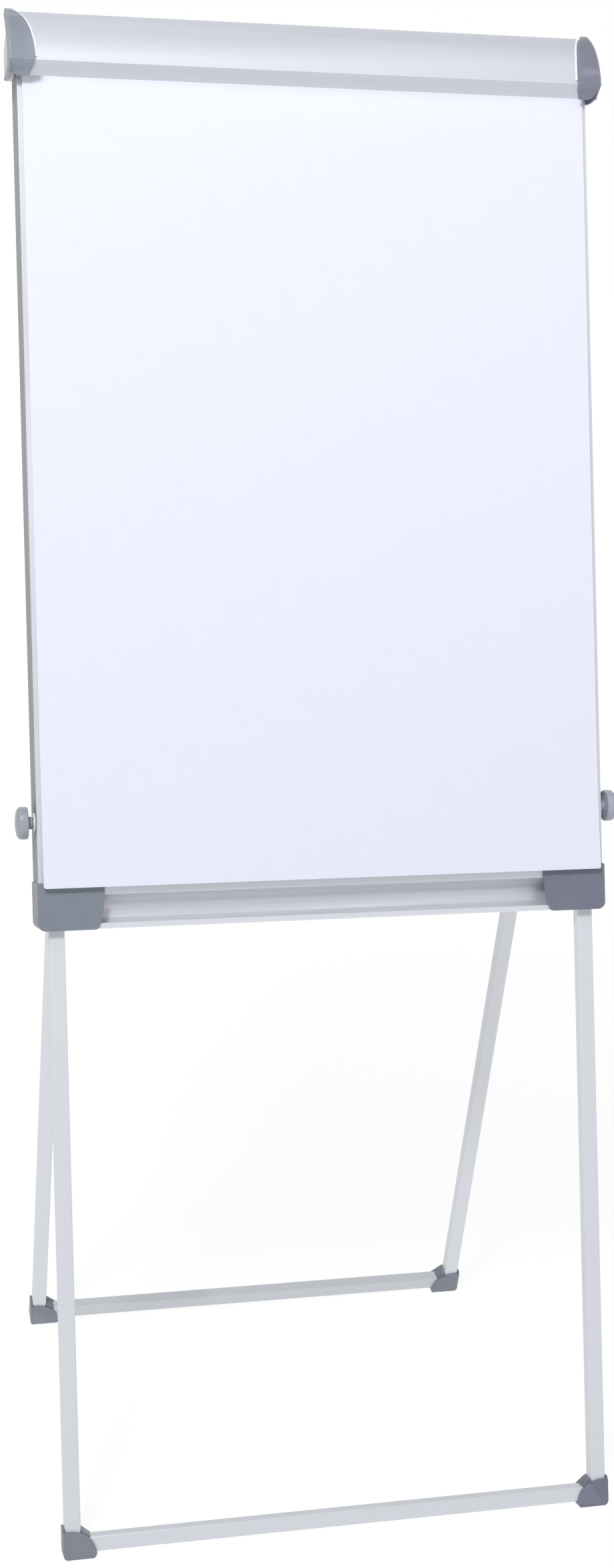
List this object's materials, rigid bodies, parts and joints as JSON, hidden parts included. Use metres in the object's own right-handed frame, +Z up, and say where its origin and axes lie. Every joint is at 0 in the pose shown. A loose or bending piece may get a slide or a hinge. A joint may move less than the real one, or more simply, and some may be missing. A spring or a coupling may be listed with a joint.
{
  "type": "flipchart easel",
  "caption": "Folding four-leg flipchart easel with a height-adjustable board, paper pad, hinged clamp bar, pen tray and side clamp knobs.",
  "frame": {"origin": "on the floor, at the centre of the easel's footprint (middle of its bounding box in X and Y)", "axes": "+Z up; X across the board, +X to the right of a person facing it; -Y toward the person writing on it"},
  "size_m": [0.7384, 0.585, 1.7484],
  "materials": {
    "silver_paint": "silver powder coat",
    "satin_aluminium": "satin anodised",
    "grey_plastic": "fine matte",
    "light_plastic": "fine matte",
    "white_enamel": "gloss white",
    "pad_paper": "uncoated",
    "board_core": "raw",
    "zinc_steel": "zinc plated",
    "black_rubber": "matte"
  },
  "bodies": {
    "front_frame": {"front_leg_left": "silver_paint", "front_leg_right": "silver_paint", "front_crossbar": "silver_paint", "front_foot_left": "grey_plastic", "front_foot_right": "grey_plastic", "leg_glide_left": "grey_plastic", "leg_glide_right": "grey_plastic", "hinge_plate_left": "zinc_steel", "hinge_plate_right": "zinc_steel", "hinge_rivet_left_lower": "zinc_steel", "hinge_rivet_left_upper": "zinc_steel", "hinge_rivet_right_lower": "zinc_steel", "hinge_rivet_right_upper": "zinc_steel", "hinge_stop_left": "zinc_steel", "hinge_stop_right": "zinc_steel"},
    "rear_frame": {"rear_leg_left": "silver_paint", "rear_leg_right": "silver_paint", "rear_crossbar": "silver_paint", "rear_foot_left": "grey_plastic", "rear_foot_right": "grey_plastic", "rear_leg_plug_left": "grey_plastic", "rear_leg_plug_right": "grey_plastic", "pivot_bolt_left": "zinc_steel", "pivot_bolt_right": "zinc_steel"},
    "board": {"side_profile_left": "satin_aluminium", "side_profile_right": "satin_aluminium", "board_back_sheet": "silver_paint", "board_core": "board_core", "board_face_sheet": "white_enamel", "rear_stiffener": "silver_paint", "pen_tray": "satin_aluminium", "tray_cap_left": "grey_plastic", "tray_cap_right": "grey_plastic", "paper_pad": "pad_paper", "pad_hook_left": "zinc_steel", "pad_hook_right": "zinc_steel", "top_rail": "satin_aluminium", "top_rail_cap_left": "light_plastic", "top_rail_cap_right": "light_plastic", "clamp_pivot_pin_left": "zinc_steel", "clamp_pivot_pin_right": "zinc_steel", "knob_collar_left": "light_plastic", "knob_collar_right": "light_plastic"},
    "clamp": {"clamp_bar": "satin_aluminium", "clamp_strip": "black_rubber", "clamp_cap_left": "grey_plastic", "clamp_cap_right": "grey_plastic"},
    "knob_left": {"clamp_knob_left": "grey_plastic", "clamp_stud_left": "zinc_steel"},
    "knob_right": {"clamp_knob_right": "grey_plastic", "clamp_stud_right": "zinc_steel"}
  },
  "joints": [
    {"name": "rear_frame_fold", "type": "hinge", "parent": "front_frame", "child": "rear_frame", "pos_m": [0, -0.00049, 1.0242], "axis": [-1, 0, 0], "range_deg": [0, 29.4]},
    {"name": "board_height", "type": "slide", "parent": "front_frame", "child": "board", "axis": [0, 0.2419, 0.9703], "range_m": [0, 0.2]},
    {"name": "clamp_bar_hinge", "type": "hinge", "parent": "board", "child": "clamp", "pos_m": [0, 0.14523, 1.73319], "axis": [-1, 0, 0], "range_deg": [0, 50]},
    {"name": "knob_left_turn", "type": "hinge", "parent": "board", "child": "knob_left", "pos_m": [-0.3455, -0.07346, 0.83337], "axis": [-1, 0, 0], "range_deg": [0, 360]},
    {"name": "knob_right_turn", "type": "hinge", "parent": "board", "child": "knob_right", "pos_m": [0.3455, -0.07346, 0.83337], "axis": [1, 0, 0], "range_deg": [0, 360]}
  ]
}
